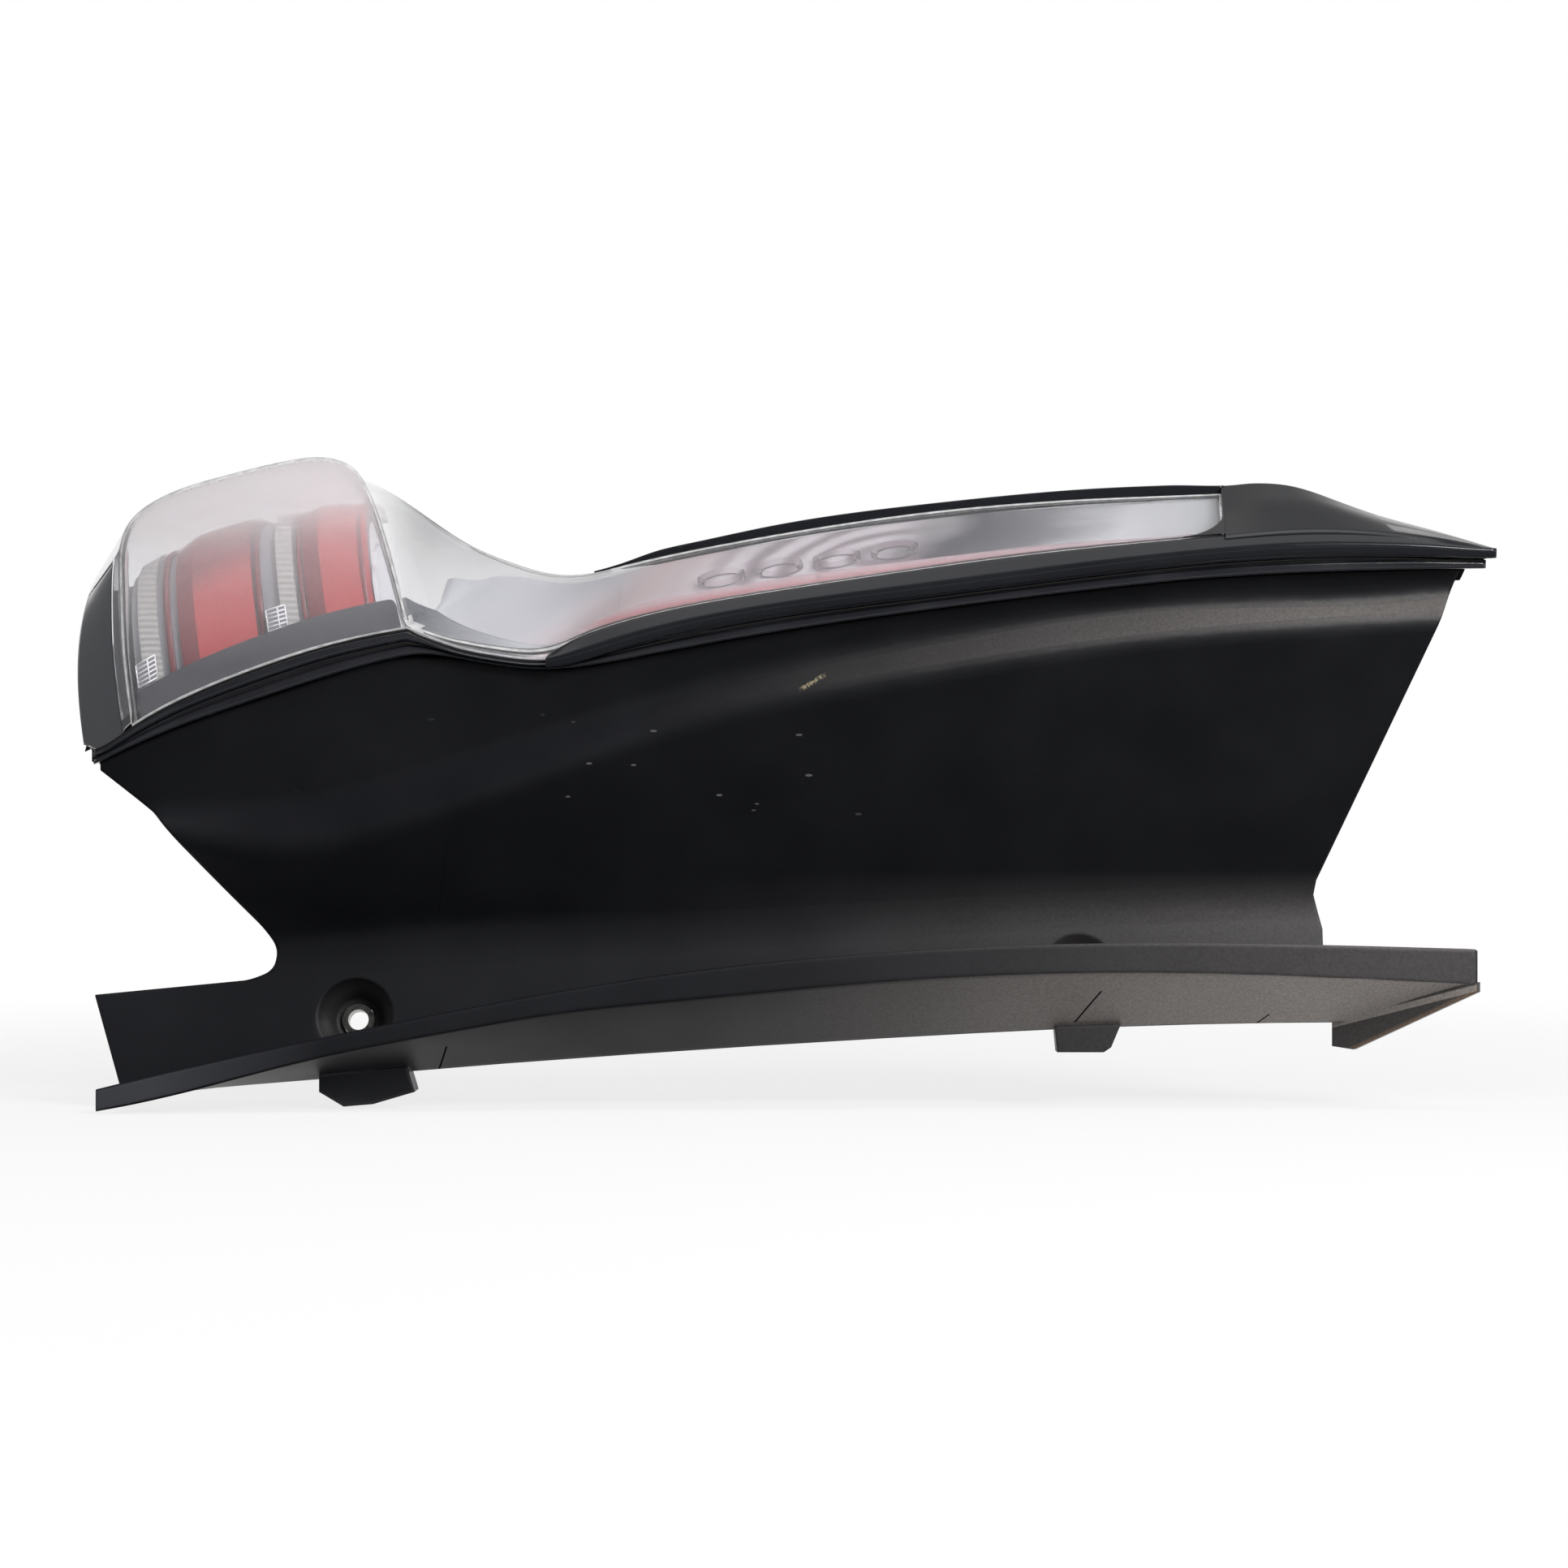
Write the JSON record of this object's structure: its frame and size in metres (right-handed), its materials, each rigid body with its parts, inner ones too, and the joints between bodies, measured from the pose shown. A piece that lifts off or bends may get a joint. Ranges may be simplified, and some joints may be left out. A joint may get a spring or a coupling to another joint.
{
  "type": "tail light cluster",
  "caption": "Long left-hand car tail lamp with a clear cube end, an arm running to a black point, and a satin black side panel with a screw shelf and lip.",
  "frame": {"origin": "middle of the screw hole at the seat in the dish of the side panel", "axes": "+X along the lamp to its pointed tip (up on the car), +Y into the car body, +Z from the side panel's lip to the lens (outboard on the car)"},
  "size_m": [0.5891, 0.1197, 0.264],
  "materials": {
    "clear_lens": "polished clear polycarbonate",
    "gloss_black": "polished black",
    "satin_black": "fine satin grain",
    "housing_black": "moulded black",
    "bezel_grey": "satin dark grey",
    "cheek_grey": "pale grey",
    "red_lens": "clear red",
    "guide_clear": "clear with prismatic cuts",
    "tray_grey": "satin grey",
    "board_green": "solder mask",
    "led_body": "white package",
    "bare_aluminium": "as rolled",
    "plated_steel": "zinc plated",
    "pin_metal": "tinned brass",
    "foam_black": "closed-cell foam",
    "sealant": "cured bead"
  },
  "bodies": {
    "root": {"outer_lens": "clear_lens", "arm_bezel": "gloss_black", "lower_end_cap": "gloss_black", "lamp_housing": "housing_black", "side_panel": "satin_black", "screw_bush": "plated_steel", "inner_bezel": "bezel_grey", "bezel_cheek": "cheek_grey", "red_bar_lower": "red_lens", "red_bar_upper": "red_lens", "light_guide_lower": "guide_clear", "light_guide_upper": "guide_clear", "inlet_prism_lower": "guide_clear", "inlet_prism_upper": "guide_clear", "arm_inner_lens": "red_lens", "arm_reflector": "tray_grey", "arm_optics": "red_lens", "cube_led_board": "board_green", "arm_led_board": "board_green", "cube_leds": "led_body", "arm_leds": "led_body", "board_heat_sink": "bare_aluminium", "board_screws": "plated_steel", "connector_socket": "housing_black", "connector_pins": "pin_metal", "socket_seal": "foam_black", "guide_pin_lower": "plated_steel", "guide_pin_upper": "plated_steel", "vent_caps": "housing_black", "panel_screws": "plated_steel", "lens_seal": "sealant"}
  },
  "joints": []
}
